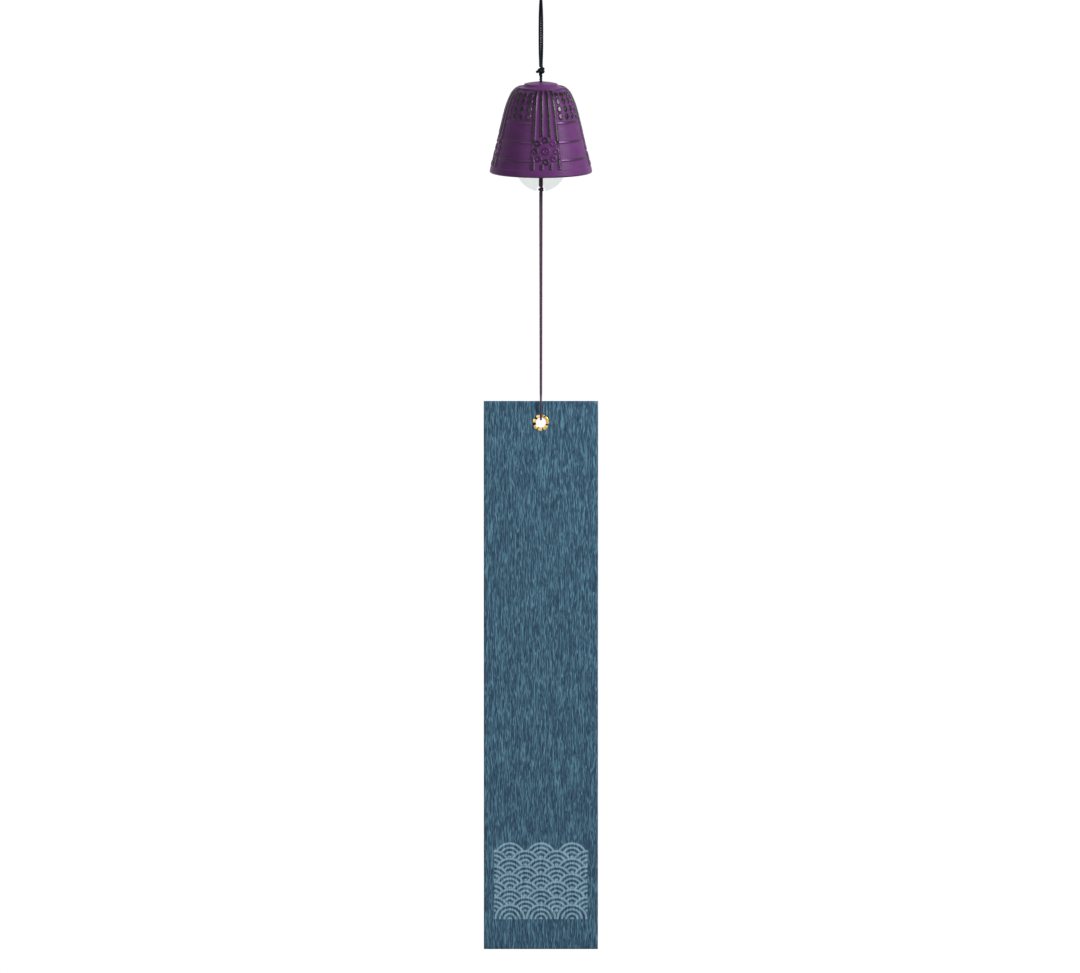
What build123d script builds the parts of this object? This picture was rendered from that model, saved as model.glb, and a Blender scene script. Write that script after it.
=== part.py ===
from build123d import *
import os
from math import cos, degrees, pi, radians, sin, sqrt, tan

# Hanging wind bell: a cast bell, a clear disc clapper and a paper strip, one below the other on cords.
# Lengths in mm, angles in degrees. +Z is up, the front faces -Y, and the origin is the point on the
# inside of the top loop that bears on its hook.

# Black hanging cord
hanging_cord_diameter = 1.25
hook_radius = 2.0
loop_length = 46.9
crown_cord_length = 3.0
knot_tail_length = 2.6

# One leg of the loop, from the knot up to the hook: sideways and depth in cord diameters, drop in loop
# lengths. The legs wind round each other.
leg_route_shares = [
    (0.0, -0.60, 1.0),
    (-0.43, -0.43, 0.82),
    (-0.60, 0.0, 0.64),
    (-0.43, 0.43, 0.46),
    (0.10, 0.60, 0.30),
    (1.50, 0.35, 0.18),
]
loop_neck_share = 0.10
bend_radius_share = 0.98

# Share of the shorter run beside a corner that the corner's arc takes, in every cord
arc_run_share = 0.45

# Knots, in diameters of their cord
turn_radius_share = 0.66
turn_spread_share = 0.62
turn_tilt = 24.0
knot_ball_share = 0.98
knot_height_share = 3.4

# Bell casting
rim_diameter = 51.4
bell_height = 45.6
wall_thickness = 2.6
crown_thickness = 3.6
crown_hole_diameter = 3.2
lip_relief = 0.55
rim_round = 0.7
underside_diameter = 14.0

# Outside of the bell: shares of the rim radius and of the bell height
lip_line_shares = (0.961, 0.082)
wall_top_shares = (0.705, 0.669)
shoulder_shares = (0.58, 0.86)
ring_shares = (0.455, 0.934)
boss_foot_shares = (0.345, 0.956)
boss_edge_shares = (0.318, 0.978)

# Relief of the bell. Rows and lines are shares of the wall's length from the lip line up to the ring.
relief_turn = 6.2
quarter_turn = 90.0
quarters = 4
ring_radius = 0.55
ridge_radius = 0.5
ridge_root = 0.9
line_radius = 0.45
sash_line_turns = (-16.2, -5.4, 5.4, 16.2)
field_line_shares = (0.113, 0.334, 0.566)
relief_sink = 0.4
knob_foot_radius = 1.1
knob_top_radius = 0.65
knob_rise = 0.6
knob_row_shares = (0.644, 0.734, 0.830, 0.912)
knob_column_turns = (-19.2, -6.4, 6.4, 19.2)
medallion_share = 0.232
medallion_radius = 5.5
medallion_margin = 1.0
petal_count = 8
petal_foot_radius = 1.5
petal_top_radius = 1.0
petal_rise = 0.65
heart_foot_radius = 2.9
heart_top_radius = 2.0
heart_rise = 0.8

# Stop under the crown
washer_diameter = 7.0
washer_thickness = 0.8
washer_hole_play = 0.2
flex_gap = 0.25

# Clapper
clapper_cord_diameter = 1.1
clapper_reach = 32.0
disc_diameter = 25.4
disc_thickness = 2.0
tie_hole_radius = 1.65
top_hole_inset = 3.2
lower_hole_drop = 4.1
notch_radius = 1.4
notch_depth = 3.8
notch_mouth = 4.6
cord_play = 0.1

# Tie under the clapper and brown strip cord
tie_cord_diameter = 1.0
strip_knot_radius = 1.2
strand_diameter = 0.6
strand_spread_top = 0.95
strand_spread_end = 0.68
strip_cord_length = 106.6
cord_end_length = 8.0
flap_rise = 4.0

# Paper strip and its eyelet
strip_width = 57.2
strip_length = 277.0
strip_thickness = 0.4
eyelet_drop = 10.9
eyelet_bore = 5.0
eyelet_wall = 0.3
eyelet_diameter = 8.7
eyelet_flange = 0.4
eyelet_curl = 0.6
eyelet_play = 0.1
split_count = 7
split_width = 0.55
split_depth = 0.95

# Levels from the hook down
knot_height = knot_height_share * hanging_cord_diameter
knot_level = -loop_length - knot_height / 2
crown_top = knot_level - knot_height / 2 - crown_cord_length
rim_level = crown_top - bell_height
crown_under = crown_top - crown_thickness
washer_under = crown_under - washer_thickness
stop_knot_level = washer_under - knot_height / 2
hitch_radius = knot_ball_share * clapper_cord_diameter + clapper_cord_diameter / 4
clapper_pivot = stop_knot_level - knot_height / 2 - flex_gap - hitch_radius
disc_level = clapper_pivot - clapper_reach
disc_radius = disc_diameter / 2
top_hole_level = disc_level + disc_radius - top_hole_inset
lower_hole_level = disc_level - lower_hole_drop
notch_level = disc_level - disc_radius + notch_depth - notch_radius
tie_offset = tie_cord_diameter / 2 + cord_play / 2
tie_room = sqrt((notch_radius - tie_cord_diameter / 2 - cord_play) ** 2 - tie_offset ** 2)
tie_low = notch_level + tie_room
strip_pivot = tie_low - tie_cord_diameter / 2 - flex_gap - strip_knot_radius
strip_top = strip_pivot - strip_cord_length
flap_level = strip_top + flap_rise
turn_level = flap_level + flex_gap + cord_end_length + flex_gap
eyelet_level = strip_top - eyelet_drop


def tube(path, diameter):
    """Round cord along a path."""
    section = Plane(path @ 0, z_dir=path % 0) * Circle(diameter / 2)
    return sweep(section, path=path)


def corner_radii(points):
    """Arc radius at each inner corner of a cord's route."""
    radii = []
    for before, corner, after in zip(points, points[1:], points[2:]):
        run_in = Vector(*corner) - Vector(*before)
        run_out = Vector(*after) - Vector(*corner)
        half_turn = radians(run_in.get_angle(run_out)) / 2
        radii.append(arc_run_share * min(run_in.length, run_out.length) / tan(half_turn))
    return radii


def upright(radius, top, bottom):
    """Upright round bar on the bell's axis."""
    return Pos(0, 0, (top + bottom) / 2) * Cylinder(radius, top - bottom)


def cord_knot(diameter, level):
    """Two crossed turns of cord drawn tight round a ball."""
    ball = Sphere(knot_ball_share * diameter)
    spread = turn_spread_share * diameter
    turn = Torus(turn_radius_share * diameter, diameter / 2)
    upper = Pos(0, 0, spread) * Rot(turn_tilt, 0, 0) * turn
    lower = Pos(0, 0, -spread) * Rot(-turn_tilt, 0, 0) * turn
    return Pos(0, 0, level) * (ball + upper + lower)


def loop_points():
    """Corner points of the hanging loop, from the knot over the hook and back."""
    cord = hanging_cord_diameter
    bend = hook_radius + cord / 2
    leg = [(x * cord, y * cord, -drop * loop_length) for x, y, drop in leg_route_shares]
    leg[0] = (leg[0][0], leg[0][1], flex_gap - loop_length)
    leg.append((bend, 0, -loop_neck_share * loop_length))
    leg.append((bend, 0, cord / 2))
    return leg + [(-x, -y, z) for x, y, z in reversed(leg)]


def hanging_loop():
    cord = hanging_cord_diameter
    points = loop_points()
    radii = corner_radii(points)
    top = len(points) // 2 - 1
    bend_radius = bend_radius_share * (hook_radius + cord / 2)
    radii[top - 1:top + 1] = [bend_radius, bend_radius]
    print("hanging loop radii", [round(radius, 2) for radius in radii])
    return tube(FilletPolyline(*points, radius=radii), cord)


def hanging_knot():
    cord = hanging_cord_diameter
    knot = cord_knot(cord, knot_level)
    tail_place = Pos(-knot_tail_length / 2, 0, knot_level - cord / 2) * Rot(0, quarter_turn, 0)
    tail = tail_place * Cylinder(cord / 2, knot_tail_length)
    stem = upright(cord / 2, knot_level + knot_height / 2, knot_level - knot_height / 2)
    return knot + tail + stem


def crown_cord():
    top = crown_top + crown_cord_length - flex_gap
    return upright(hanging_cord_diameter / 2, top, crown_top + flex_gap)


def bell_point(shares):
    """Point of the bell's outline in the XZ plane."""
    radius_share, height_share = shares
    return Vector(radius_share * rim_diameter / 2, 0, rim_level + height_share * bell_height)


def wall_path():
    """Outside of the wall from the lip line up to the ring: a straight run and two tangent arcs."""
    straight = Edge.make_line(bell_point(lip_line_shares), bell_point(wall_top_shares))
    upper = Edge.make_tangent_arc(straight @ 1, straight % 1, bell_point(shoulder_shares))
    shoulder = Edge.make_tangent_arc(upper @ 1, upper % 1, bell_point(ring_shares))
    return Wire([straight, upper, shoulder])


def bell_blank(wall):
    """Turned outside of the bell with its lip band, shoulder and crown boss."""
    foot = wall @ 0
    rim = Vector(rim_diameter / 2, 0, rim_level)
    lip = Vector(foot.X + lip_relief, 0, foot.Z - lip_relief)
    boss_foot = bell_point(boss_foot_shares)
    boss_edge = bell_point(boss_edge_shares)
    top = Vector(0, 0, crown_top)
    dome = Edge.make_tangent_arc(top, Vector(1, 0, 0), boss_edge)
    bottom = Polyline(top, (0, 0, rim_level), rim, lip, foot)
    crown = Polyline(wall @ 1, boss_foot, boss_edge)
    outline = Wire([*bottom.edges(), *wall.edges(), *crown.edges(), dome])
    blank = revolve(Face(outline), Axis.Z)
    return fillet(blank.edges().group_by(Axis.Z)[0], rim_round)


def bell_cavity(wall):
    """Inside of the bell: parallel to the wall, rounded up to the flat under the crown."""
    straight = wall.edges()[0]
    lean = straight % 0
    inset = Vector(-lean.Z, 0, lean.X) * wall_thickness
    start = straight @ 0 + inset
    mouth = start - lean * ((start.Z - rim_level + wall_thickness) / lean.Z)
    inner = Edge.make_line(mouth, straight @ 1 + inset)
    flat = Vector(underside_diameter / 2, 0, crown_under)
    dome = Edge.make_tangent_arc(inner @ 1, inner % 1, flat)
    axis = Polyline(flat, (0, 0, crown_under), (0, 0, mouth.Z), mouth)
    return revolve(Face(Wire([inner, dome, *axis.edges()])), Axis.Z)


def on_wall(wall, turn, share):
    """Place on the bell's outside: local Z points out of the wall."""
    rise = wall % share
    outward = Vector(rise.Z, 0, -rise.X)
    return Rot(0, 0, turn) * Plane(wall @ share, x_dir=(0, 1, 0), z_dir=outward).location


def stud(foot_radius, top_radius, rise):
    """Blunt round knob, rooted in the wall that it stands on."""
    return Pos(0, 0, (rise - relief_sink) / 2) * Cone(foot_radius, top_radius, rise + relief_sink)


def sash_lines(wall, sash):
    """Upright raised lines of one sash, rooted in the lip and broken by its medallion."""
    straight, upper, shoulder = wall.edges()
    root = straight @ 0 - (straight % 0) * ridge_root
    path = Wire([Edge.make_line(root, straight @ 1), upper, shoulder])
    middle = ridge_root + medallion_share * wall.length
    reach = medallion_radius + medallion_margin
    side_radius = (wall @ medallion_share).X
    lines = []
    for turn in sash_line_turns:
        side = side_radius * radians(turn)
        half_break = sqrt(max(reach ** 2 - side ** 2, medallion_margin ** 2))
        lower = path.trim(0, (middle - half_break) / path.length)
        upper = path.trim((middle + half_break) / path.length, 1)
        for run in (lower, upper):
            section = Plane(run @ 0, z_dir=run % 0) * Circle(ridge_radius)
            lines.append(Rot(0, 0, sash + turn) * sweep(section, path=run))
    return lines


def level_bead(wall, share, radius, span):
    """Raised bead round the bell's axis, on the wall."""
    section = Plane(wall @ share, z_dir=(0, 1, 0)) * Circle(radius)
    return revolve(section, Axis.Z, revolution_arc=span)


def field_lines(wall, sash):
    """Level raised lines of one field, from its sash to the next one."""
    edge_turn = sash + sash_line_turns[-1]
    span = quarter_turn - 2 * sash_line_turns[-1]
    beads = [level_bead(wall, share, line_radius, span) for share in field_line_shares]
    return [Rot(0, 0, edge_turn) * bead for bead in beads]


def field_knobs(wall, sash):
    """Rows of knobs in the upper part of one field."""
    middle = sash + quarter_turn / 2
    knob = stud(knob_foot_radius, knob_top_radius, knob_rise)
    places = [(turn, share) for turn in knob_column_turns for share in knob_row_shares]
    return [on_wall(wall, middle + turn, share) * knob for turn, share in places]


def medallion(wall, sash):
    """Lotus on one sash: a heart in a ring of petals that follows the wall."""
    petal = stud(petal_foot_radius, petal_top_radius, petal_rise)
    side_radius = (wall @ medallion_share).X
    petals = [on_wall(wall, sash, medallion_share) * stud(heart_foot_radius, heart_top_radius, heart_rise)]
    for index in range(petal_count):
        angle = 2 * pi * index / petal_count
        turn = degrees(medallion_radius * cos(angle) / side_radius)
        share = medallion_share + medallion_radius * sin(angle) / wall.length
        petals.append(on_wall(wall, sash + turn, share) * petal)
    return petals


def bell():
    wall = wall_path()
    sashes = [quarter * quarter_turn - quarter_turn + relief_turn for quarter in range(quarters)]
    solid = bell_blank(wall) + level_bead(wall, 1, ring_radius, quarters * quarter_turn)
    for relief in (field_knobs, medallion, field_lines, sash_lines):
        for sash in sashes:
            solid = solid.fuse(*relief(wall, sash))
    hole = upright(crown_hole_diameter / 2, crown_top + crown_thickness, crown_under - crown_thickness)
    return solid - bell_cavity(wall) - hole


def stop_washer():
    hole_radius = hanging_cord_diameter / 2 + washer_hole_play
    plate = upright(washer_diameter / 2, crown_under, washer_under)
    return plate - upright(hole_radius, crown_under, washer_under)


def stop_knot():
    """Knot under the washer with the cord that comes through the crown."""
    cord = hanging_cord_diameter
    seat = upright(turn_radius_share * cord + cord / 2, washer_under, stop_knot_level)
    stem = upright(cord / 2, crown_top - flex_gap, stop_knot_level)
    return cord_knot(cord, stop_knot_level) + seat + stem


def clapper_hitch():
    return Pos(0, 0, clapper_pivot) * Sphere(hitch_radius)


def cord_ring(cord, side, top, bottom):
    """Ring of cord round the edge of the disc, flat-sided where it runs along both faces."""
    depth = disc_thickness / 2 + cord_play + cord / 2
    corners = [(side, -depth, bottom), (side, -depth, top), (side, depth, top), (side, depth, bottom)]
    path = FilletPolyline(*corners, radius=cord_play + cord / 2, close=True)
    return tube(path, cord)


def clapper_cord():
    """Cord from the hitch to the disc, with its knot and the ring through the disc's upper hole."""
    cord = clapper_cord_diameter
    ring_low = top_hole_level + tie_hole_radius - cord_play - cord / 2
    ring_top = disc_level + disc_radius + cord_play + cord / 2
    depth = disc_thickness / 2 + cord_play + cord / 2
    knot_place = ring_top + depth + turn_spread_share * cord
    ring = cord_ring(cord, 0, ring_top + depth, ring_low)
    run = upright(cord / 2, clapper_pivot - hitch_radius - flex_gap, ring_top + depth)
    return ring + cord_knot(cord, knot_place) + run


def clapper_disc():
    """Clear disc with two tie holes and a notch at its foot for the strip's knot."""
    through = 2 * disc_thickness
    hole = Rot(quarter_turn, 0, 0) * Cylinder(tie_hole_radius, through)
    notch_top = Rot(quarter_turn, 0, 0) * Cylinder(notch_radius, through)
    foot = disc_level - disc_radius
    half_mouth = [(notch_radius, notch_level), (notch_mouth / 2, foot)]
    mouth = half_mouth + [(-x, z) for x, z in reversed(half_mouth)]
    flare = extrude(Plane.XZ * Polygon(*mouth, align=None), disc_thickness, both=True)
    disc = Pos(0, 0, disc_level) * Rot(quarter_turn, 0, 0) * Cylinder(disc_radius, disc_thickness)
    disc = disc - Pos(0, 0, top_hole_level) * hole - Pos(0, 0, lower_hole_level) * hole
    return disc - Pos(0, 0, notch_level) * notch_top - flare


def strip_tie():
    """Two turns of cord through the disc's lower hole and its notch."""
    cord = tie_cord_diameter
    room = sqrt((tie_hole_radius - cord / 2 - cord_play) ** 2 - tie_offset ** 2)
    top = lower_hole_level - room
    turns = [cord_ring(cord, side, top, tie_low) for side in (-tie_offset, tie_offset)]
    return Compound(children=turns)


def strip_hitch():
    return Pos(0, 0, strip_pivot) * Sphere(strip_knot_radius)


def strand_pair(top, bottom, top_spread, bottom_spread):
    """The two strands of the strip cord, side by side."""
    strands = []
    for side in (-1, 1):
        path = Edge.make_line((side * top_spread / 2, 0, top), (side * bottom_spread / 2, 0, bottom))
        strands.append(tube(path, strand_diameter))
    return Compound(children=strands)


def strip_cord():
    top = strip_pivot - strip_knot_radius - flex_gap
    return strand_pair(top, turn_level + flex_gap, strand_spread_top, strand_spread_end)


def strip_cord_end():
    return strand_pair(turn_level - flex_gap, flap_level + flex_gap, strand_spread_end, strand_spread_end)


def eyelet_loop():
    """End of the strip cord: down the front of the paper, through the eyelet and up the back."""
    start = flap_level - flex_gap
    low = eyelet_level + eyelet_bore / 2 - eyelet_wall - strand_diameter
    depth = strip_thickness / 2 + eyelet_curl + strand_diameter / 2 + cord_play
    lean = strip_top + strand_diameter
    side = strand_spread_end / 2
    bow = depth + strand_diameter / 4
    front = [(-side, 0, start), (0, -depth, lean), (0, -bow, (lean + low) / 2), (0, -depth, low)]
    points = front + [(-x, -y, z) for x, y, z in reversed(front)]
    radii = corner_radii(points)
    print("eyelet loop radii", [round(radius, 2) for radius in radii])
    return tube(FilletPolyline(*points, radius=radii), strand_diameter)


def eyelet():
    """Brass eyelet: barrel, flat back flange and a curled front that is split into petals."""
    bore = eyelet_bore / 2
    barrel = bore + eyelet_wall
    rim = eyelet_diameter / 2
    face = strip_thickness / 2
    back = face + eyelet_flange
    crest = face + eyelet_curl
    crown = Vector(barrel + eyelet_wall, -crest)
    half_way = -(face + crest) / 2
    inside = Polyline((rim, face), (rim, back), (bore, back), (bore, -face))
    flare = ThreePointArc(inside @ 1, (barrel - eyelet_wall / 2, half_way), crown)
    curl = ThreePointArc(crown, (rim - eyelet_wall, half_way), (rim, -face))
    under = Polyline(curl @ 1, (barrel, -face), (barrel, face), (rim, face))
    section = Face(Wire([*inside.edges(), flare.edge(), curl.edge(), *under.edges()]))
    body = revolve(section, Axis.Y)
    split = Pos(0, half_way, rim) * Box(split_width, eyelet_curl, 2 * split_depth)
    split_step = quarters * quarter_turn / split_count
    splits = [Rot(0, index * split_step, 0) * split for index in range(split_count)]
    return Pos(0, 0, eyelet_level) * (body - splits)


def paper_strip():
    middle = strip_top - strip_length / 2
    hole_radius = eyelet_bore / 2 + eyelet_wall + eyelet_play
    hole = Rot(quarter_turn, 0, 0) * Cylinder(hole_radius, 2 * strip_thickness)
    sheet = Pos(0, 0, middle) * Box(strip_width, strip_thickness, strip_length)
    return sheet - Pos(0, 0, eyelet_level) * hole


builders = [
    hanging_loop,
    hanging_knot,
    crown_cord,
    bell,
    stop_washer,
    stop_knot,
    clapper_hitch,
    clapper_cord,
    clapper_disc,
    strip_tie,
    strip_hitch,
    strip_cord,
    strip_cord_end,
    eyelet_loop,
    eyelet,
    paper_strip,
]

os.makedirs("parts", exist_ok=True)
for builder in builders:
    shape = builder()
    export_step(shape, "parts/" + builder.__name__ + ".step")
    print(builder.__name__, round(shape.volume, 2), shape.is_valid)

print("knot foot", -loop_length - knot_height, "crown top", crown_top, "rim", rim_level)
print("clapper pivot", clapper_pivot, "disc", disc_level, "strip pivot", strip_pivot)
print("turn", turn_level, "flap", flap_level, "strip top", strip_top, "eyelet", eyelet_level)
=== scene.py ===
from itertools import product
from math import atan2, cos, pi, radians, sin

import bpy
import numpy as np
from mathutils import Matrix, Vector


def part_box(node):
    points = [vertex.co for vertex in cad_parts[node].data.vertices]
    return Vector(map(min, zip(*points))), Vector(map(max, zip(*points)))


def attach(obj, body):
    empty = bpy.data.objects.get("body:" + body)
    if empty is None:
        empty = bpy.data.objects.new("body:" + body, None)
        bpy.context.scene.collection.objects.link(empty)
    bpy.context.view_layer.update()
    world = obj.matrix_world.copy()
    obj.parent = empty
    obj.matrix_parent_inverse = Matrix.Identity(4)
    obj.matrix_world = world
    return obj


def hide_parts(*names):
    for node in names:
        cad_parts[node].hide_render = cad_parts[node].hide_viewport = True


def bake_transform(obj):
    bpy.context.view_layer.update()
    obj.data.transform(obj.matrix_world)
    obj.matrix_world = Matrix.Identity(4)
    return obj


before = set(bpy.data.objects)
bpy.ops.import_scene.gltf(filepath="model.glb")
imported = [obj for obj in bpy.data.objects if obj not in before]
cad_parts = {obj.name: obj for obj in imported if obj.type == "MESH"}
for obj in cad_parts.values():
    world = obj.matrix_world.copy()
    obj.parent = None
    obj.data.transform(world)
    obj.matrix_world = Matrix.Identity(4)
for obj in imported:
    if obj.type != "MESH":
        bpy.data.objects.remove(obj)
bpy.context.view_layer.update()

# Lengths in metres, angles in degrees. The front faces -Y, and the loop bears on its hook at the origin.

# Camera, with its lens and sensor in millimetres
view_elevation = 7.4
view_target = Vector((-0.00045, 0, -0.2578))
view_distance = 10.5
view_lens = 700.0
sensor_width = 36.0
view_reach = 100.0

# Stage and light, with powers in watts
floor_level = -1.6
stage_size = 40.0
floor_grey = 0.9
floor_lift = 0.78
world_strength = 0.23
light_target = Vector((0, 0, -0.12))
key_place = (0.82, -0.46, 0.38)
key_size, key_power = 0.3, 12.0
fill_place = (-1.0, -1.4, 0.45)
fill_size, fill_power = 1.0, 6.0

# Colours from dark to light, as screen values from 0 to 255
paint_colours = [(86, 43, 94), (99, 51, 107)]
iron_colours = [(29, 29, 29), (47, 49, 45)]
black_cord_colours = [(10, 13, 19), (34, 40, 49)]
brown_cord_colours = [(72, 54, 70), (114, 93, 114)]
plastic_colours = [(216, 222, 221), (223, 228, 227)]
brass_colours = [(190, 148, 76), (240, 214, 150)]
# Dark ring under the eyelet's petals: painted shadow that shows in the gaps between them
painted_shadow_colours = [(24, 19, 16), (44, 34, 26)]
# Paper: its own blue in the middle, painted shade in the crepe's hollows and a painted highlight on its
# ridges
paper_and_crepe_shading_colours = [(46, 68, 90), (67, 98, 122), (113, 163, 186)]
# Print: thinner ink and painted shade in the crepe's hollows, a painted highlight on its ridges
ink_thinning_and_shade_colours = [(104, 138, 160), (142, 177, 198), (172, 205, 224)]
dull_specular = 0.12
matte = 0.9

# Bell, with the outline of the casting as shares of its rim radius and height
bell_low, bell_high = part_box("bell")
rim_radius = (bell_high.x - bell_low.x) / 2
rim_level = bell_low.z
bell_height = bell_high.z - bell_low.z
lip_line_shares = (0.961, 0.082)
wall_top_shares = (0.705, 0.669)
shoulder_shares = (0.58, 0.86)
ring_shares = (0.455, 0.934)
boss_foot_shares = (0.345, 0.956)
boss_edge_shares = (0.318, 0.978)
wall_thickness = 0.0026
crown_thickness = 0.0036
crown_hole_radius = 0.0016
underside_radius = 0.007
lip_relief = 0.00055
rim_round = 0.0007
edge_round = 0.0003
ring_radius = 0.00055

# Rows and columns of the bell's mesh
wall_rows = 230
rows_under_bead = 3
# Rows just below the ring that are drawn in the darker iron colour
ring_darkening_rows = slice(wall_rows - 6, wall_rows - 2)
wall_arc_points = 60
bead_points = 16
boss_side_points = 5
boss_top_points = 14
inner_dome_points = 24
inner_wall_points = 30
rim_points = 7
lip_points = 14
bell_columns = 760

# Relief of the bell. Rows and lines are shares of the wall's length from the lip line up to the ring.
front_turn = 90
relief_turn = 6.2
sash_step = 90
sash_line_turns = (-16.2, -5.4, 5.4, 16.2)
ridge_half_width = 0.00135
ridge_flank_share = 0.75
ridge_height = 0.00055
ridge_bare_half_width = 0.00085
field_line_shares = (0.113, 0.334, 0.566)
line_half_width = 0.0008
line_height = 0.00025
knob_row_shares = (0.644, 0.734, 0.830, 0.912)
knob_column_turns = (-19.2, -6.4, 6.4, 19.2)
knob_half_width = 0.0015
knob_half_height = 0.0022
knob_height = 0.0005
medallion_share = 0.232
medallion_radius = 0.0055
medallion_margin = 0.0010
petal_half_width = 0.0016
petal_half_length = 0.0016
petal_height = 0.00045
loop_middle_share = 0.70
loop_half_share = 0.42
heart_ring_radius = 0.0016
heart_line_half_width = 0.0005
heart_dot_radius = 0.0006
heart_height = 0.0004
flank_share = 0.45
bare_low_share, bare_high_share = 0.3, 0.75
ridge_bare, line_bare, knob_bare, heart_bare = 1.0, 0.6, 1.0, 0.5
petal_bares = np.array([0.7, 0.35, 0.9, 0.9, 1.0, 0.8, 0.85, 0.4])
# Darker iron colour on the rounded rim and in a thin line just below the ring
rim_darkening, ring_darkening = 0.7, 0.5

# Black cord: half of the loop from the knot up to the hook, the other half is its mirror image
cord_diameter = 0.00125
cord_lay = 0.0036
loop_route = [
    (-0.00034, -0.00053, -0.04665),
    (-0.00036, -0.00052, -0.0440),
    (-0.00054, -0.00034, -0.0400),
    (-0.00061, 0.0, -0.0350),
    (-0.00061, 0.0, -0.0300),
    (-0.00060, 0.00012, -0.0255),
    (-0.00054, 0.00035, -0.0205),
    (-0.00034, 0.00055, -0.0160),
    (-0.00016, 0.00062, -0.0125),
    (0.0004, 0.00060, -0.0098),
    (0.0016, 0.00035, -0.0072),
    (0.002625, 0.0, -0.00469),
    (0.002625, 0.0, 0.000625),
]
hanging_knot_level = -0.0486
hanging_knot_cord = 0.0015
tail_route = [
    (0.0008, -0.0010, -0.0482),
    (-0.0002, -0.0015, -0.0486),
    (-0.0012, -0.0012, -0.0490),
    (-0.0023, -0.0007, -0.0493),
]
crown_cord_diameter = 0.00145
crown_cord_route = [(0, 0, -0.0504), (0.00006, 0, -0.0518), (-0.00006, 0, -0.0532), (0, 0, -0.0556)]
stop_knot_level = -0.060675

# Plies of a cord, and the points that the spline of a route gets for each of its own
cord_plies = 3
ply_sides = 8
ply_swell = 1.18
first_cross = (0.31, 0.95, 0.07)
loop_resolution = 28
short_resolution = 12
run_resolution = 16
knot_resolution = 16
heart_resolution = 6
eyelet_loop_resolution = 24
strand_resolution = 70

# Knot, in diameters of its cord
knot_heart_shares = (0.8, 0.25, -0.3, -0.85)
knot_heart_diameters = 1.5
knot_route_shares = [
    (0.0, 0.0, 1.75),
    (0.05, -0.25, 1.15),
    (0.80, -0.60, 0.60),
    (0.65, 0.75, 0.35),
    (-0.70, 0.70, 0.05),
    (-0.80, -0.60, -0.05),
    (0.30, -0.95, -0.20),
    (0.95, 0.10, -0.35),
    (0.20, 0.80, -0.80),
    (-0.30, 0.10, -1.25),
    (0.0, 0.0, -1.75),
]

# Clapper and its cord
clapper_cord_diameter = 0.0011
clapper_hitch_level = -0.0651
clapper_knot_level = -0.0801
clapper_run_route = [(0, 0, -0.0646), (0.0001, 0, -0.0698), (-0.0001, 0, -0.0750), (0, 0, -0.0801)]
clapper_ring_route = [
    (0, 0, -0.0808),
    (0, -0.00115, -0.0812),
    (0, -0.00175, -0.0829),
    (0, -0.00175, -0.0864),
    (0, 0.00175, -0.0864),
    (0, 0.00175, -0.0829),
    (0, 0.00115, -0.0812),
    (0, 0, -0.0808),
]

# Tie of the strip: one turn of cord through the disc's lower hole and its notch, made twice
tie_cord_diameter = 0.00105
tie_sides = (-0.0005, 0.0005)
tie_route = [
    (0, -0.1066),
    (-0.0017, -0.1066),
    (-0.00175, -0.1037),
    (-0.0017, -0.1010),
    (0.0017, -0.1010),
    (0.00175, -0.1037),
    (0.0017, -0.1066),
    (0, -0.1066),
]
strip_knot_level = -0.10834
strip_knot_cord = 0.00106
hitch_cord_diameter = 0.00098

# Brown strip cord: one strand, the other mirrors it, and the end that runs through the eyelet
strand_diameter = 0.00098
strand_lay = 0.0024
strand_route = [
    (0.00041, 0.0001, -0.109522),
    (0.00040, 0.0001, -0.1175),
    (0.00036, 0.0001, -0.1330),
    (0.00030, 0.0001, -0.1500),
    (0.00026, 0.0001, -0.1680),
    (0.00023, 0.0001, -0.1860),
    (0.00020, 0.0001, -0.2000),
    (0.00019, 0.0001, -0.210422),
]
eyelet_loop_route = [
    (-0.00019, -0.0001, -0.2105),
    (0.0, -0.0012, -0.214072),
    (0.0, -0.00135, -0.219022),
    (0.0, -0.0012, -0.223972),
    (0.0, 0.0012, -0.223972),
    (0.0, 0.00135, -0.219022),
    (0.0, 0.0012, -0.214072),
    (0.00019, 0.0001, -0.2105),
]

# Paper strip
paper_low, paper_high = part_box("paper_strip")
paper_thickness = 0.0003
paper_step = 0.001
paper_wave = 0.00004
paper_wave_across, paper_wave_down = 0.011, 0.043
eyelet_level = -0.225572
paper_hole_radius = 0.0029
ink_level = 0.00003

# Eyelet: a barrel with a flat back, and a curled front split into seven uneven petals. Spans in degrees.
barrel_radius = 0.0025
flange_radius = 0.00435
barrel_wall = 0.0003
flange_front, flange_back = 0.0002, 0.0006
eyelet_sides = 72
eyelet_petal_spans = [(-12, 56), (62, 80), (98, 128), (148, 178), (202, 238), (245, 280), (290, 332)]
eyelet_petal_profile = [
    (0.00250, 0.00020),
    (0.00254, 0.00048),
    (0.00272, 0.00066),
    (0.00305, 0.00070),
    (0.00355, 0.00062),
    (0.00400, 0.00046),
    (0.00432, 0.00030),
]
petal_corner_share = 0.07
petal_columns = 13
petal_thickness = 0.00012
# Dark ring just behind the petals: a painted shadow that shows in the gaps between them
shadow_ring_radius = 0.0038
shadow_ring_level = 0.00025

# Print: waves of overlapping circles in a panel near the strip's foot
wave_radius = 0.0078
wave_rows = 9
wave_columns = 2
wave_rows_in_front = 3
wave_half_width = 0.0234
wave_foot = -0.4765
wave_band_shares = [(0.02, 0.13), (0.30, 0.42), (0.58, 0.70), (0.86, 0.99)]
wave_step = 2.5


def srgb(red, green, blue):
    """Linear colour with alpha from 0 to 255 screen values."""
    shares = np.array([red, green, blue]) / 255
    linear = np.where(shares <= 0.04045, shares / 12.92, ((shares + 0.055) / 1.055) ** 2.4)
    return (*map(float, linear), 1.0)


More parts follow.
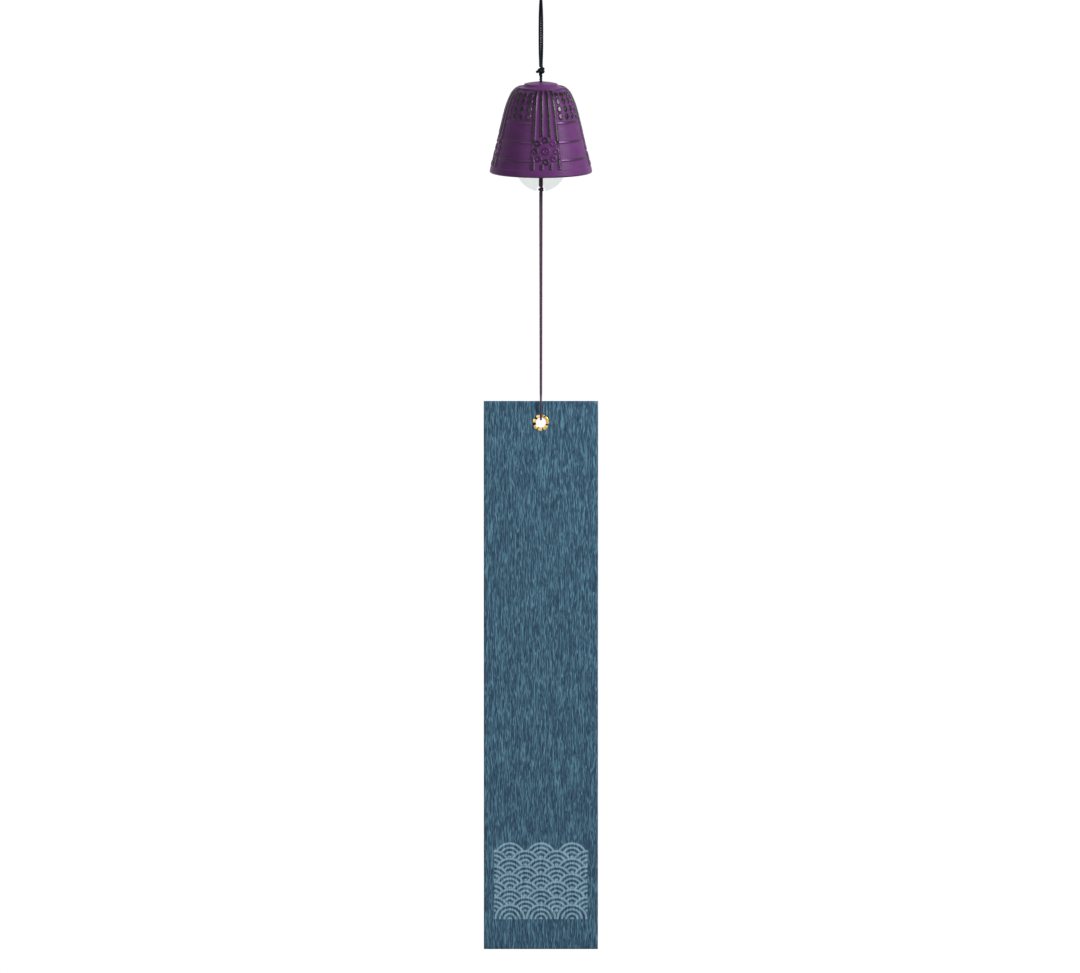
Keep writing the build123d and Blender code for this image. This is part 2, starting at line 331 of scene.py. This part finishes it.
class Shader:
    """A node material with short calls for the nodes used here."""

    def __init__(self, name, **sockets):
        self.material = bpy.data.materials.new(name)
        self.material.use_nodes = True
        self.nodes = self.material.node_tree.nodes
        self.surface = self.nodes["Principled BSDF"]
        for socket, value in sockets.items():
            label = socket.replace("_", " ").title().replace("Ior", "IOR")
            self.surface.inputs[label].default_value = value

    def link(self, output, node, socket):
        self.material.node_tree.links.new(output, node.inputs[socket])

    def place(self, stretch=(1, 1, 1)):
        """Object coordinates, stretched."""
        coordinates = self.nodes.new("ShaderNodeTexCoord")
        mapping = self.nodes.new("ShaderNodeMapping")
        mapping.inputs["Scale"].default_value = stretch
        self.link(coordinates.outputs["Object"], mapping, "Vector")
        return mapping.outputs["Vector"]

    def noise(self, scale, detail=3.0, stretch=(1, 1, 1), distortion=0.0):
        node = self.nodes.new("ShaderNodeTexNoise")
        node.inputs["Scale"].default_value = scale
        node.inputs["Detail"].default_value = detail
        node.inputs["Distortion"].default_value = distortion
        self.link(self.place(stretch), node, "Vector")
        return node.outputs["Fac"]

    def attribute(self, name):
        node = self.nodes.new("ShaderNodeAttribute")
        node.attribute_name = name
        return node.outputs["Fac"]

    def calculate(self, operation, first, second):
        node = self.nodes.new("ShaderNodeMath")
        node.operation = operation
        for index, value in enumerate((first, second)):
            if isinstance(value, (int, float)):
                node.inputs[index].default_value = value
            else:
                self.link(value, node, index)
        return node.outputs["Value"]

    def ramp(self, value, places, colours):
        """Screen colours at their places along the input."""
        node = self.nodes.new("ShaderNodeValToRGB")
        for index, (place, colour) in enumerate(zip(places, colours)):
            if index >= len(node.color_ramp.elements):
                node.color_ramp.elements.new(place)
            node.color_ramp.elements[index].position = place
            node.color_ramp.elements[index].color = srgb(*colour)
        self.link(value, node, "Fac")
        return node.outputs["Color"]

    def steps(self, value, low, high, first=0.0, last=1.0):
        """Value from first to last as the input goes from low to high."""
        node = self.nodes.new("ShaderNodeMapRange")
        node.inputs["From Min"].default_value = low
        node.inputs["From Max"].default_value = high
        node.inputs["To Min"].default_value = first
        node.inputs["To Max"].default_value = last
        self.link(value, node, "Value")
        return node.outputs["Result"]

    def mix(self, factor, first, second):
        """Colour from first to second as the factor goes from 0 to 1, by the node's colour sockets."""
        node = self.nodes.new("ShaderNodeMix")
        node.data_type = "RGBA"
        self.link(factor, node, 0)
        self.link(first, node, 6)
        self.link(second, node, 7)
        return node.outputs[2]

    def bump(self, height, distance, strength=1.0):
        node = self.nodes.new("ShaderNodeBump")
        node.inputs["Distance"].default_value = distance
        node.inputs["Strength"].default_value = strength
        self.link(height, node, "Height")
        self.link(node.outputs["Normal"], self.surface, "Normal")

    def finish(self, socket, output):
        self.link(output, self.surface, socket)


def painted_iron():
    """Satin purple paint on a casting, rubbed back to bare dark iron on the tops of the relief."""
    shader = Shader("painted_iron", specular_ior_level=dull_specular)
    patches = shader.noise(160.0, 4.0)
    grain = shader.noise(1500.0, 4.0)
    paint = shader.ramp(patches, (0.3, 0.7), paint_colours)
    rubbing = shader.noise(330.0, 3.0)
    rubbed = shader.steps(rubbing, 0.24, 0.42, 0.3)
    bare = shader.calculate("MULTIPLY", shader.attribute("bare"), rubbed)
    iron = shader.ramp(grain, (0.3, 0.7), iron_colours)
    shader.finish("Base Color", shader.mix(bare, paint, iron))
    shader.finish("Metallic", bare)
    satin = shader.steps(grain, 0.3, 0.7, 0.36, 0.5)
    polish = shader.calculate("MULTIPLY", bare, 0.17)
    shader.finish("Roughness", shader.calculate("SUBTRACT", satin, polish))
    shader.bump(grain, 0.00008, 0.5)
    return shader.material


def cord_fibre(name, colours):
    """Cord with fine fibres."""
    shader = Shader(name, roughness=0.85, specular_ior_level=dull_specular)
    fibres = shader.noise(5000.0, 2.0)
    shader.finish("Base Color", shader.ramp(fibres, (0.3, 0.7), colours))
    shader.bump(fibres, 0.00005, 0.8)
    return shader.material


def clear_plastic():
    shader = Shader("clear_plastic", transmission_weight=1.0, ior=1.49)
    scuffs = shader.noise(900.0, 5.0, (1, 1, 0.2))
    shader.finish("Base Color", shader.ramp(scuffs, (0.35, 0.7), plastic_colours))
    shader.finish("Roughness", shader.steps(scuffs, 0.45, 0.75, 0.02, 0.12))
    return shader.material


def brass(name, colours):
    shader = Shader(name, metallic=1.0)
    tarnish = shader.noise(900.0, 4.0)
    shader.finish("Base Color", shader.ramp(tarnish, (0.3, 0.7), colours))
    shader.finish("Roughness", shader.steps(tarnish, 0.3, 0.7, 0.22, 0.42))
    shader.bump(tarnish, 0.00003, 0.5)
    return shader.material


def crepe(shader):
    """Height of crepe paper, 0 to 1: thin upright wrinkles that wander and branch over a fine grain."""
    bands = shader.noise(1150.0, 1.0, (1, 1, 0.07), 0.3)
    off_middle = shader.calculate("ABSOLUTE", shader.calculate("SUBTRACT", bands, 0.5), 0.0)
    wrinkles = shader.steps(off_middle, 0.0, 0.07, 0.4, 0.0)
    grain = shader.steps(shader.noise(3200.0, 2.0, (1, 1, 0.14), 0.3), 0.25, 0.75, 0.0, 0.55)
    broad = shader.steps(shader.noise(260.0, 2.0, (1, 1, 0.2)), 0.25, 0.75, 0.0, 0.05)
    return shader.calculate("ADD", wrinkles, shader.calculate("ADD", grain, broad))


def blue_paper():
    shader = Shader("paper", roughness=matte, specular_ior_level=dull_specular)
    wrinkles = crepe(shader)
    # Colour follows the crepe's height: painted shade in the hollows, painted highlight on the ridges
    shader.finish("Base Color", shader.ramp(wrinkles, (0.10, 0.36, 0.80), paper_and_crepe_shading_colours))
    shader.bump(wrinkles, 0.00022, 0.8)
    return shader.material


def pale_ink():
    """Print on the crepe: it takes on the ridges and thins out in the hollows, with painted shade in the
    hollows and a painted highlight on the ridges.
    """
    shader = Shader("ink", roughness=matte, specular_ior_level=dull_specular)
    wrinkles = crepe(shader)
    shader.finish("Base Color", shader.ramp(wrinkles, (0.05, 0.25, 0.6), ink_thinning_and_shade_colours))
    shader.bump(wrinkles, 0.00022, 0.8)
    return shader.material


def mesh_object(name, vertices, faces, material):
    """Smooth-shaded mesh in the row frame."""
    mesh = bpy.data.meshes.new(name)
    mesh.from_pydata([tuple(map(float, vertex)) for vertex in vertices], [], faces)
    mesh.update()
    mesh.polygons.foreach_set("use_smooth", [True] * len(mesh.polygons))
    mesh.materials.append(material)
    made = bpy.data.objects.new(name, mesh)
    bpy.context.collection.objects.link(made)
    return made


def ride(piece, body, slot, *nodes):
    """Piece on its body, with the CAD nodes that it stands for hidden. The slot is not used."""
    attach(piece, body)
    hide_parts(*nodes)
    return piece


def route_line(route, resolution):
    """Points along the smooth spline of a cord's route."""
    curve = bpy.data.curves.new("route", "CURVE")
    curve.dimensions = "3D"
    spline = curve.splines.new("NURBS")
    spline.points.add(len(route) - 1)
    for point, place in zip(spline.points, route):
        point.co = (*place, 1)
    spline.order_u = 3
    spline.use_endpoint_u = True
    spline.resolution_u = resolution
    holder = bpy.data.objects.new("route", curve)
    bpy.context.collection.objects.link(holder)
    bpy.context.view_layer.update()
    line = bpy.data.meshes.new_from_object(holder.evaluated_get(bpy.context.evaluated_depsgraph_get()))
    points = np.array([vertex.co for vertex in line.vertices])
    bpy.data.objects.remove(holder)
    bpy.data.meshes.remove(line)
    return points


def carried_frames(line):
    """Two cross directions at each point of a line, carried along it without twist."""
    tangents = np.gradient(line, axis=0)
    tangents /= np.linalg.norm(tangents, axis=1)[:, None]
    first = np.cross(tangents[0], first_cross)
    normals = [first / np.linalg.norm(first)]
    for tangent in tangents[1:]:
        normal = normals[-1] - tangent * np.dot(normals[-1], tangent)
        normals.append(normal / np.linalg.norm(normal))
    normals = np.array(normals)
    return normals, np.cross(tangents, normals)


def rope(name, runs, lay, material):
    """Cord laid up of twisted plies along each run, which is a line and its diameter."""
    vertices = []
    faces = []
    around = 2 * pi * np.arange(ply_sides) / ply_sides
    for line, diameter in runs:
        ply_radius = diameter / 2 / (1 + 1 / sin(pi / cord_plies))
        lay_radius = diameter / 2 - ply_radius
        normals, binormals = carried_frames(line)
        ring = np.cos(around)[:, None, None] * normals + np.sin(around)[:, None, None] * binormals
        run = np.concatenate([[0], np.cumsum(np.linalg.norm(np.diff(line, axis=0), axis=1))])
        for ply in range(cord_plies):
            phase = 2 * pi * (run / lay + ply / cord_plies)[:, None]
            centre = line + lay_radius * (np.cos(phase) * normals + np.sin(phase) * binormals)
            start = len(vertices)
            vertices.extend((centre + ply_swell * ply_radius * ring).swapaxes(0, 1).reshape(-1, 3))
            for row in range(len(line) - 1):
                low = start + row * ply_sides
                for side in range(ply_sides):
                    after = (side + 1) % ply_sides
                    faces.append((low + side, low + after, low + ply_sides + after, low + ply_sides + side))
            faces.append(tuple(start + side for side in reversed(range(ply_sides))))
            faces.append(tuple(len(vertices) - ply_sides + side for side in range(ply_sides)))
    return mesh_object(name, vertices, faces, material)


def knot_runs(diameter, level):
    """Cord of a tight knot, and the crossings that fill its heart."""
    wound = [(x * diameter, y * diameter, level + z * diameter) for x, y, z in knot_route_shares]
    heart = [(0, 0, level + z * diameter) for z in knot_heart_shares]
    wound_line, heart_line = route_line(wound, knot_resolution), route_line(heart, heart_resolution)
    return [(wound_line, diameter), (heart_line, knot_heart_diameters * diameter)]


def outline_point(shares):
    """Radius and height of a point of the bell's outline."""
    return np.array([shares[0] * rim_radius, rim_level + shares[1] * bell_height])


def tangent_arc(start, direction, end, count):
    """Points of the arc that leaves start along direction and reaches end, and its last direction."""
    along = direction / np.linalg.norm(direction)
    across = np.array([-along[1], along[0]])
    chord = end - start
    turn = 2 * atan2(np.dot(chord, across), np.dot(chord, along))
    radius = np.dot(chord, chord) / (2 * np.dot(chord, across))
    angles = np.linspace(0, turn, count + 1)[1:, None]
    points = start + radius * (np.sin(angles) * along + (1 - np.cos(angles)) * across)
    return points, cos(turn) * along + sin(turn) * across


def evenly(points, count):
    """The same line with evenly spaced points, and its length."""
    run = np.concatenate([[0], np.cumsum(np.linalg.norm(np.diff(points, axis=0), axis=1))])
    places = np.linspace(0, run[-1], count)
    return np.stack([np.interp(places, run, points[:, axis]) for axis in (0, 1)], axis=1), run[-1]


def bell_wall():
    """Outside of the wall from the lip line up to the ring."""
    foot, top = outline_point(lip_line_shares), outline_point(wall_top_shares)
    upper, direction = tangent_arc(top, top - foot, outline_point(shoulder_shares), wall_arc_points)
    ring = outline_point(ring_shares)
    shoulder, direction = tangent_arc(upper[-1], direction, ring, wall_arc_points)
    return np.vstack([foot[None], top[None], upper, shoulder]), direction


def bell_crown(end, direction):
    """From the wall's end over the bead and the boss, and down the hole to the flat under the crown."""
    crown_top = rim_level + bell_height
    boss_foot, boss_edge = outline_point(boss_foot_shares), outline_point(boss_edge_shares)
    slope = boss_foot - end
    angles = np.linspace(atan2(-direction[1], -direction[0]), atan2(slope[1], slope[0]), bead_points)[1:]
    bead = end + ring_radius * np.stack([np.cos(angles), np.sin(angles)], axis=1)
    lead = boss_edge + (boss_foot - boss_edge) * np.linspace(1, 0, boss_side_points)[:, None]
    middle, outward = np.array([0, crown_top]), np.array([1.0, 0])
    dome = tangent_arc(middle, outward, boss_edge, boss_top_points)[0][::-1]
    rim = dome[dome[:, 0] > crown_hole_radius + edge_round]
    under = crown_top - crown_thickness
    hole = [
        (crown_hole_radius + edge_round, crown_top),
        (crown_hole_radius, crown_top - edge_round),
        (crown_hole_radius, (crown_top + under) / 2),
        (crown_hole_radius, under + edge_round),
        (crown_hole_radius + edge_round, under),
        (underside_radius, under),
    ]
    return np.vstack([bead, lead[:-1], rim, hole])


def bell_inside_and_rim(wall):
    """From the flat under the crown down the inside, round the rim and up the lip to the wall's foot."""
    foot, top = wall[0], wall[1]
    lean = (top - foot) / np.linalg.norm(top - foot)
    inset = wall_thickness * np.array([-lean[1], lean[0]])
    flat = np.array([underside_radius, rim_level + bell_height - crown_thickness])
    inner_top = top + inset
    inner_foot = foot + inset
    mouth = inner_foot - lean * (inner_foot[1] - rim_level) / lean[1]
    dome = tangent_arc(inner_top, lean, flat, inner_dome_points)[0][::-1]
    down = np.linspace(0, 1, inner_wall_points)[:, None]
    inner = inner_top + (mouth + edge_round * lean - inner_top) * down
    turn = np.linspace(-pi / 2, 0, rim_points)[1:-1]
    rim_centre = np.array([rim_radius - rim_round, rim_level + rim_round])
    rim = rim_centre + rim_round * np.stack([np.cos(turn), np.sin(turn)], axis=1)
    lip = foot + lip_relief * np.array([1, -1])
    side = np.array([rim_radius, rim_level + rim_round])
    lip_rows = side + (lip - side) * np.linspace(0, 1, lip_points)[:, None]
    edge = [mouth + edge_round * np.array([1, 0]), [rim_radius - rim_round, rim_level]]
    return np.vstack([dome[1:], inner, edge, rim, lip_rows, ((lip + foot) / 2)[None]])


def flat_bump(distance, flank=flank_share):
    """Flat-topped bump, 1 in the middle, with a flank that ends at a distance of 1."""
    rise = np.clip((1 - distance) / flank, 0, 1)
    return rise * rise * (3 - 2 * rise)


def worn(bump):
    """How far the top of a bump is rubbed bare."""
    return np.clip((bump - bare_low_share) / (bare_high_share - bare_low_share), 0, 1)


def nearest(values, places):
    return np.min([np.abs(values - place) for place in places], axis=0)


def medallion_bump(side, rise):
    """Petals in a ring, each a raised loop with its own wear, round a small ring with a dot."""
    middle = np.hypot(side, rise)
    step = 2 * pi / len(petal_bares)
    turn = (np.arctan2(rise, side) + step / 2) % (2 * pi)
    across = middle * (turn % step - step / 2) / petal_half_width
    along = (middle - medallion_radius) / petal_half_length
    petal = flat_bump(np.abs(np.hypot(across, along) - loop_middle_share) / loop_half_share)
    petal_bare = petal_bares[(turn / step).astype(int) % len(petal_bares)]
    ring = flat_bump(np.abs(middle - heart_ring_radius) / heart_line_half_width)
    dot = flat_bump(middle / heart_dot_radius)
    return petal, petal_bare, np.maximum(ring, dot)


def bell_relief(radius, length):
    """Height of the relief over the wall's rows and columns, and how bare its tops are."""
    share = np.linspace(0, 1, wall_rows)[:, None]
    around = np.degrees(2 * pi * np.arange(bell_columns) / bell_columns)[None, :]
    turn = around + front_turn - relief_turn
    from_sash = (turn + sash_step / 2) % sash_step - sash_step / 2
    from_field = turn % sash_step - sash_step / 2
    side = np.radians(from_sash) * radius
    rise = (share - medallion_share) * length

    ridge_side = np.radians(nearest(from_sash, sash_line_turns)) * radius
    gap = medallion_radius + medallion_margin
    ridge_ends = np.clip((np.hypot(side, rise) - gap) / ridge_half_width, 0, 1)
    ridge = flat_bump(ridge_side / ridge_half_width, ridge_flank_share) * ridge_ends
    ridge_top = flat_bump(ridge_side / ridge_bare_half_width) * ridge_ends
    line = flat_bump(nearest(share, field_line_shares) * length / line_half_width)
    line = line * (np.abs(from_sash) > sash_line_turns[-1])
    knob_side = np.radians(nearest(from_field, knob_column_turns)) * radius / knob_half_width
    knob_rise = nearest(share, knob_row_shares) * length / knob_half_height
    knob = flat_bump(np.hypot(knob_side, knob_rise))
    petal, petal_bare, heart = medallion_bump(side, rise)

    heights = [ridge * ridge_height, line * line_height, knob * knob_height, petal * petal_height]
    relief = np.max(heights + [heart * heart_height], axis=0)
    tops = [(ridge_top, ridge_bare), (line, line_bare), (knob, knob_bare), (petal, petal_bare)]
    bare = np.max([worn(bump) * most for bump, most in tops + [(heart, heart_bare)]], axis=0)
    return relief, bare


def make_bell():
    wall, direction = bell_wall()
    rows, length = evenly(wall, wall_rows)
    rest = np.vstack([bell_crown(rows[-1], direction), bell_inside_and_rim(wall)])
    outline = np.vstack([rows[:-rows_under_bead], rest])
    along = np.roll(outline, -1, axis=0) - np.roll(outline, 1, axis=0)
    outward = np.stack([along[:, 1], -along[:, 0]], axis=1) / np.linalg.norm(along, axis=1)[:, None]
    relief = np.zeros((len(outline), bell_columns))
    bare = np.zeros((len(outline), bell_columns))
    on_wall = slice(1, wall_rows - rows_under_bead)
    wall_relief, wall_bare = bell_relief(rows[:, :1], length)
    relief[on_wall], bare[on_wall] = wall_relief[on_wall], wall_bare[on_wall]
    # Darker iron colour along the rounded rim and in a thin line just below the ring
    bare[outline[:, 1] < rim_level + rim_round] = rim_darkening
    bare[ring_darkening_rows] = ring_darkening

    radius = outline[:, :1] + relief * outward[:, :1]
    height = outline[:, 1:] + relief * outward[:, 1:]
    angle = 2 * pi * np.arange(bell_columns) / bell_columns
    vertices = np.stack([radius * np.cos(angle), radius * np.sin(angle), height], axis=2).reshape(-1, 3)
    index = np.arange(len(vertices)).reshape(len(outline), bell_columns)
    right = np.roll(index, -1, axis=1)
    quads = np.stack([index, right, np.roll(right, -1, axis=0), np.roll(index, -1, axis=0)], axis=2)
    bell = mesh_object("bell_casting", vertices, quads.reshape(-1, 4).tolist(), painted_iron())
    attribute = bell.data.attributes.new("bare", "FLOAT", "POINT")
    attribute.data.foreach_set("value", bare.astype(np.float32).ravel())
    return ride(bell, "bell", "painted_iron", "bell")


def make_hanging_cord():
    """Loop over the hook, the knot with its tail, and the short cord down to the crown."""
    material = cord_fibre("black_cord", black_cord_colours)
    route = loop_route + [(-x, -y, z) for x, y, z in reversed(loop_route)]
    line = route_line(route, loop_resolution)
    loop = rope("hanging_loop_cord", [(line, cord_diameter)], cord_lay, material)
    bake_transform(loop)
    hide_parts("hanging_loop")
    tail = (route_line(tail_route, short_resolution), cord_diameter)
    knotted = knot_runs(hanging_knot_cord, hanging_knot_level) + [tail]
    knot = rope("hanging_knot_cord", knotted, cord_lay, material)
    ride(knot, "hanging_knot", "black_cord", "hanging_knot")
    crown_run = [(route_line(crown_cord_route, short_resolution), crown_cord_diameter)]
    crown = rope("crown_cord_run", crown_run, cord_lay, material)
    ride(crown, "crown_cord", "black_cord", "crown_cord")
    stop = rope("stop_knot_cord", knot_runs(cord_diameter, stop_knot_level), cord_lay, material)
    ride(stop, "bell", "black_cord", "stop_knot")
    return material


def make_clapper_cord(material):
    """Hitch under the stop knot, the run down to the disc and the ring through its upper hole."""
    hitch_runs = knot_runs(hitch_cord_diameter, clapper_hitch_level)
    hitch = rope("clapper_hitch_cord", hitch_runs, cord_lay, material)
    ride(hitch, "clapper_hitch", "black_cord", "clapper_hitch")
    runs = [
        (route_line(clapper_run_route, run_resolution), clapper_cord_diameter),
        (route_line(clapper_ring_route, run_resolution), clapper_cord_diameter),
    ]
    runs += knot_runs(hitch_cord_diameter, clapper_knot_level)
    run = rope("clapper_cord_run", runs, cord_lay, material)
    ride(run, "clapper", "black_cord", "clapper_cord")


def make_strip_cord():
    """Tie round the disc's foot, its knot, two strands and the end through the eyelet."""
    material = cord_fibre("brown_cord", brown_cord_colours)
    turns = [[(side, y, z) for y, z in tie_route] for side in tie_sides]
    tie_runs = [(route_line(turn, run_resolution), tie_cord_diameter) for turn in turns]
    tie = rope("strip_tie_cord", tie_runs, cord_lay, material)
    ride(tie, "clapper", "brown_cord", "strip_tie")
    hitch_runs = knot_runs(strip_knot_cord, strip_knot_level)
    hitch = rope("strip_hitch_cord", hitch_runs, strand_lay, material)
    ride(hitch, "strip_hitch", "brown_cord", "strip_hitch")
    loop_run = [(route_line(eyelet_loop_route, eyelet_loop_resolution), strand_diameter)]
    loop = rope("eyelet_loop_cord", loop_run, strand_lay, material)
    ride(loop, "strip", "brown_cord", "eyelet_loop")
    for side, mirror in (("left", -1), ("right", 1)):
        route = [(mirror * x, mirror * y, z) for x, y, z in strand_route]
        line = route_line(route, strand_resolution)
        strand = rope("strip_cord_" + side, [(line, strand_diameter)], strand_lay, material)
        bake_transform(strand)
        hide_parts("strip_cord", "strip_cord_end")


def paper_sheet():
    """Thin sheet with a round hole for the eyelet and a faint wave."""
    width, length = paper_high.x - paper_low.x, paper_high.z - paper_low.z
    across = np.linspace(paper_low.x, paper_high.x, round(width / paper_step) + 1)
    down = np.linspace(paper_low.z, paper_high.z, round(length / paper_step) + 1)
    x, z = np.meshgrid(across, down)
    from_hole = np.hypot(x, z - eyelet_level)
    outward = paper_hole_radius / np.maximum(from_hole, paper_step / 10)
    push = np.where(from_hole < paper_hole_radius, outward, 1)
    y = paper_wave * np.sin(x / paper_wave_across) * np.cos(z / paper_wave_down)
    vertices = np.stack([x * push, y, eyelet_level + (z - eyelet_level) * push], axis=2).reshape(-1, 3)
    index = np.arange(x.size).reshape(x.shape)
    quads = np.stack([index[:-1, :-1], index[:-1, 1:], index[1:, 1:], index[1:, :-1]], axis=2)
    quads = quads.reshape(-1, 4)
    kept = quads[(from_hole.ravel()[quads] > paper_hole_radius).any(axis=1)]
    return vertices, kept.tolist()


def wave_covered(place, row):
    """Whether a circle of a lower row hides a place, given from the centre of a circle in this row."""
    for below in range(1, min(row, wave_rows_in_front) + 1):
        sides = (-1, 1) if below % 2 else (-2, 0, 2)
        for side in sides:
            from_x = place[0] - side * wave_radius
            from_z = place[1] + below * wave_radius / 2
            if np.hypot(from_x, from_z) < wave_radius:
                return True
    return False


def wave_print():
    """Quads of the printed waves: bands of overlapping circles, row behind row."""
    vertices = []
    faces = []
    front = -paper_thickness / 2 - ink_level
    columns = range(-wave_columns, wave_columns + 1)
    starts = np.arange(0, 180, wave_step)
    for row, column, shares, first in product(range(wave_rows), columns, wave_band_shares, starts):
        centre_x = (2 * column + row % 2) * wave_radius
        centre_z = wave_foot + row * wave_radius / 2
        radii = np.array(shares) * wave_radius
        turns = np.radians([first, first + wave_step])
        middle = radii.mean() * np.array([cos(turns.mean()), sin(turns.mean())])
        if abs(centre_x + middle[0]) > wave_half_width or wave_covered(middle, row):
            continue
        start = len(vertices)
        for radius, turn in ((0, 0), (1, 0), (1, 1), (0, 1)):
            x = centre_x + radii[radius] * cos(turns[turn])
            vertices.append((x, front, centre_z + radii[radius] * sin(turns[turn])))
        faces.append((start, start + 1, start + 2, start + 3))
    return vertices, faces


def make_paper():
    vertices, faces = paper_sheet()
    sheet = mesh_object("paper_sheet", vertices, faces, blue_paper())
    solid = sheet.modifiers.new("thickness", "SOLIDIFY")
    solid.thickness = paper_thickness
    solid.offset = 0
    ride(sheet, "strip", "paper", "paper_strip")
    ink = mesh_object("wave_print", *wave_print(), pale_ink())
    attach(ink, "strip")


def turned(outline):
    """Vertices and faces of a ring turned round the eyelet's axis from (radius, depth) points."""
    sides = eyelet_sides
    angles = 2 * pi * np.arange(sides) / sides
    vertices = []
    for radius, depth in outline:
        for angle in angles:
            vertices.append((radius * cos(angle), depth, eyelet_level + radius * sin(angle)))
    faces = []
    for row in range(len(outline) - 1):
        for side in range(sides):
            after = (side + 1) % sides
            low, high = row * sides, (row + 1) * sides
            faces.append((low + side, high + side, high + after, low + after))
    return vertices, faces


def eyelet_petals():
    """Front of the eyelet: sheet petals that curl out of the barrel, with their corners pulled in."""
    vertices = []
    faces = []
    for first, last in eyelet_petal_spans:
        start = len(vertices)
        for radius, lift in eyelet_petal_profile:
            reach = (radius - barrel_radius) / (flange_radius - barrel_radius)
            for place in np.linspace(-1, 1, petal_columns):
                angle = radians((first + last) / 2 + place * (last - first) / 2)
                at = radius * (1 - petal_corner_share * reach * place ** 4)
                vertices.append((at * cos(angle), -lift, eyelet_level + at * sin(angle)))
        for row in range(len(eyelet_petal_profile) - 1):
            for column in range(petal_columns - 1):
                low = start + row * petal_columns + column
                faces.append((low, low + 1, low + petal_columns + 1, low + petal_columns))
    return vertices, faces


def make_eyelet():
    gold = brass("brass", brass_colours)
    shade = brass("brass_painted_shadow", painted_shadow_colours)
    petals = mesh_object("eyelet_petals", *eyelet_petals(), gold)
    sheet = petals.modifiers.new("thickness", "SOLIDIFY")
    sheet.thickness = petal_thickness
    sheet.offset = 1
    ride(petals, "strip", "brass", "eyelet")
    outside = barrel_radius + barrel_wall
    body = [
        (barrel_radius, -flange_front),
        (barrel_radius, flange_back),
        (flange_radius, flange_back),
        (flange_radius, flange_front),
        (outside, flange_front),
        (outside, -flange_front),
        (barrel_radius, -flange_front),
    ]
    barrel = mesh_object("eyelet_barrel", *turned(body), gold)
    # Dark ring behind the petals: painted shadow in the gaps between them
    ring = [(shadow_ring_radius, -shadow_ring_level), (barrel_radius, -shadow_ring_level)]
    shadow_ring = mesh_object("eyelet_shadow_ring", *turned(ring), shade)
    for piece in (barrel, shadow_ring):
        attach(piece, "strip")
    return gold


def dress_nodes(gold):
    """Materials of the CAD nodes that stay in view."""
    for node, material in (("clapper_disc", clear_plastic()), ("stop_washer", gold)):
        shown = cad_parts[node]
        shown.data.materials.clear()
        shown.data.materials.append(material)


def soft_light(name, place, size, power):
    """Square lamp that faces the light's target."""
    lamp = bpy.data.lights.new(name, "AREA")
    lamp.size = size
    lamp.energy = power
    holder = bpy.data.objects.new(name, lamp)
    holder.location = place
    holder.rotation_euler = (light_target - Vector(place)).to_track_quat("-Z", "Y").to_euler()
    bpy.context.collection.objects.link(holder)


def seen_rays(nodes, links):
    """1 for camera, glossy and transmission rays, 0 for light that falls on surfaces."""
    path = nodes.new("ShaderNodeLightPath")
    total = path.outputs["Is Camera Ray"]
    for ray in ("Is Glossy Ray", "Is Transmission Ray"):
        most = nodes.new("ShaderNodeMath")
        most.operation = "MAXIMUM"
        links.new(total, most.inputs[0])
        links.new(path.outputs[ray], most.inputs[1])
        total = most.outputs["Value"]
    return total


def make_stage():
    world = bpy.data.worlds.new("studio")
    world.use_nodes = True
    bpy.context.scene.world = world
    nodes, links = world.node_tree.nodes, world.node_tree.links
    plain = nodes["Background"]
    plain.inputs["Color"].default_value = (1, 1, 1, 1)
    plain.inputs["Strength"].default_value = world_strength
    white = nodes.new("ShaderNodeBackground")
    white.inputs["Color"].default_value = (1, 1, 1, 1)
    mixed = nodes.new("ShaderNodeMixShader")
    links.new(seen_rays(nodes, links), mixed.inputs["Fac"])
    links.new(plain.outputs["Background"], mixed.inputs[1])
    links.new(white.outputs["Background"], mixed.inputs[2])
    links.new(mixed.outputs["Shader"], nodes["World Output"].inputs["Surface"])

    half = stage_size / 2
    corners = [(x * half, y * half, floor_level) for x, y in ((-1, -1), (1, -1), (1, 1), (-1, 1))]
    grey = (floor_grey, floor_grey, floor_grey, 1)
    shader = Shader("floor", base_color=grey, roughness=matte, emission_color=(1, 1, 1, 1))
    seen = seen_rays(shader.nodes, shader.material.node_tree.links)
    lift = shader.calculate("MULTIPLY", seen, floor_lift)
    shader.finish("Emission Strength", lift)
    floor = mesh_object("floor", corners, [(0, 1, 2, 3)], shader.material)

    soft_light("key_light", key_place, key_size, key_power)
    soft_light("fill_light", fill_place, fill_size, fill_power)


def make_camera():
    lift = radians(view_elevation)
    camera = bpy.data.cameras.new("camera")
    camera.lens = view_lens
    camera.sensor_width = sensor_width
    camera.clip_end = view_reach
    holder = bpy.data.objects.new("camera", camera)
    holder.location = view_target + view_distance * Vector((0, -cos(lift), sin(lift)))
    holder.rotation_euler = (view_target - holder.location).to_track_quat("-Z", "Y").to_euler()
    bpy.context.collection.objects.link(holder)
    bpy.context.scene.camera = holder


make_camera()
black_cord = make_hanging_cord()
make_clapper_cord(black_cord)
make_strip_cord()
make_bell()
make_paper()
dress_nodes(make_eyelet())
make_stage()
bpy.context.scene.view_settings.view_transform = "Standard"
